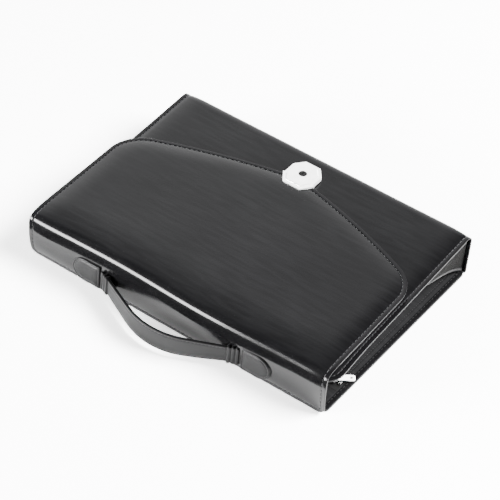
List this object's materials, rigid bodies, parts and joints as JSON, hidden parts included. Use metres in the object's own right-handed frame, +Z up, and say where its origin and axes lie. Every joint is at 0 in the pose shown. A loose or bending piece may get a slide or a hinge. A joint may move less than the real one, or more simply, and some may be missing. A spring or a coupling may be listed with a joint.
{
  "type": "leather document case",
  "caption": "Flat padded document case with a carry handle on its long edge, a bowed flap with a snap clasp and key lock, a hinged cover and a zipped inner pocket.",
  "frame": {"origin": "middle of the back panel's outer face, on which the case lies", "axes": "+X along the case and its folds, +Y from the handle wall to the spine, +Z up out of the back panel"},
  "size_m": [0.3629, 0.298, 0.0594],
  "materials": {
    "leather": "glossy smooth black imitation leather over foam",
    "handle_leather": "glossy black imitation leather with stitched edges",
    "lining": "satin black coated lining",
    "gusset_cloth": "woven black cloth",
    "board": "raw grey board",
    "foam": "open foam",
    "strap_core": "matte",
    "clasp_chrome": "bright chrome plate",
    "steel": "zinc plated steel",
    "zip_metal": "bright nickel plate",
    "zip_tape": "woven black tape",
    "zip_teeth": "moulded plastic teeth"
  },
  "bodies": {
    "back": {"back_skin": "leather", "back_board": "board", "back_lining": "lining", "spine_skin": "leather", "spine_board": "board", "spine_lining": "lining", "wall_fold_strip": "lining", "cover_fold_strip": "leather", "gusset_left": "gusset_cloth", "gusset_right": "gusset_cloth", "pocket_sheet": "lining", "zip_tape_front": "zip_tape", "zip_tape_rear": "zip_tape", "zip_teeth_front": "zip_teeth", "zip_teeth_rear": "zip_teeth", "zip_stops": "zip_metal"},
    "slider": {"zip_slider": "zip_metal"},
    "puller": {"zip_puller": "zip_metal"},
    "handle_wall": {"wall_skin": "leather", "wall_foam": "foam", "wall_board": "board", "wall_lining": "lining", "flap_fold_strip": "leather", "handle_strap_outer": "handle_leather", "handle_strap_inner": "handle_leather", "handle_core": "strap_core", "keeper_left": "handle_leather", "keeper_right": "handle_leather", "tab_left": "handle_leather", "tab_right": "handle_leather", "tab_pad_left": "foam", "tab_pad_right": "foam", "handle_backing_left": "steel", "handle_backing_right": "steel", "handle_rivets": "steel"},
    "flap": {"flap_skin": "leather", "flap_foam": "foam", "flap_board": "board", "flap_lining": "lining", "clasp_plate": "clasp_chrome", "clasp_bezel": "clasp_chrome", "clasp_backing": "steel", "clasp_rivets": "steel", "snap_spring": "steel"},
    "lock": {"lock_cylinder": "clasp_chrome", "lock_cam": "steel"},
    "cover": {"cover_skin": "leather", "cover_foam": "foam", "cover_board": "board", "cover_lining": "lining", "catch_plate": "steel", "catch_post": "steel", "catch_backing": "steel", "catch_rivets": "steel"}
  },
  "joints": [
    {"name": "wall_fold", "type": "hinge", "parent": "back", "child": "handle_wall", "pos_m": [0, -0.131, 0], "axis": [1, 0, 0], "range_deg": [0, 12], "deforming": ["wall_fold_strip"]},
    {"name": "flap_hinge", "type": "hinge", "parent": "handle_wall", "child": "flap", "pos_m": [0, -0.13, 0.054], "axis": [1, 0, 0], "range_deg": [0, 176], "deforming": ["flap_fold_strip", "snap_spring"]},
    {"name": "cover_hinge", "type": "hinge", "parent": "back", "child": "cover", "pos_m": [0, 0.13, 0.052], "axis": [-1, 0, 0], "range_deg": [0, 17.6], "deforming": ["cover_fold_strip", "gusset_left", "gusset_right"]},
    {"name": "lock_turn", "type": "hinge", "parent": "flap", "child": "lock", "pos_m": [-0.003, 0.09, 0.0574], "axis": [0, 0, 1], "range_deg": [0, 90]},
    {"name": "zip_slide", "type": "slide", "parent": "back", "child": "slider", "axis": [-1, 0, 0], "range_m": [0, 0.322]},
    {"name": "puller_hinge", "type": "hinge", "parent": "slider", "child": "puller", "pos_m": [0.162, -0.09, 0.0079], "axis": [0.6157, -0.788, 0], "range_deg": [0, 150]}
  ],
  "couplings": [
    {"joint": "cover_hinge", "follows": "flap_hinge", "ratio": 0.1}
  ]
}
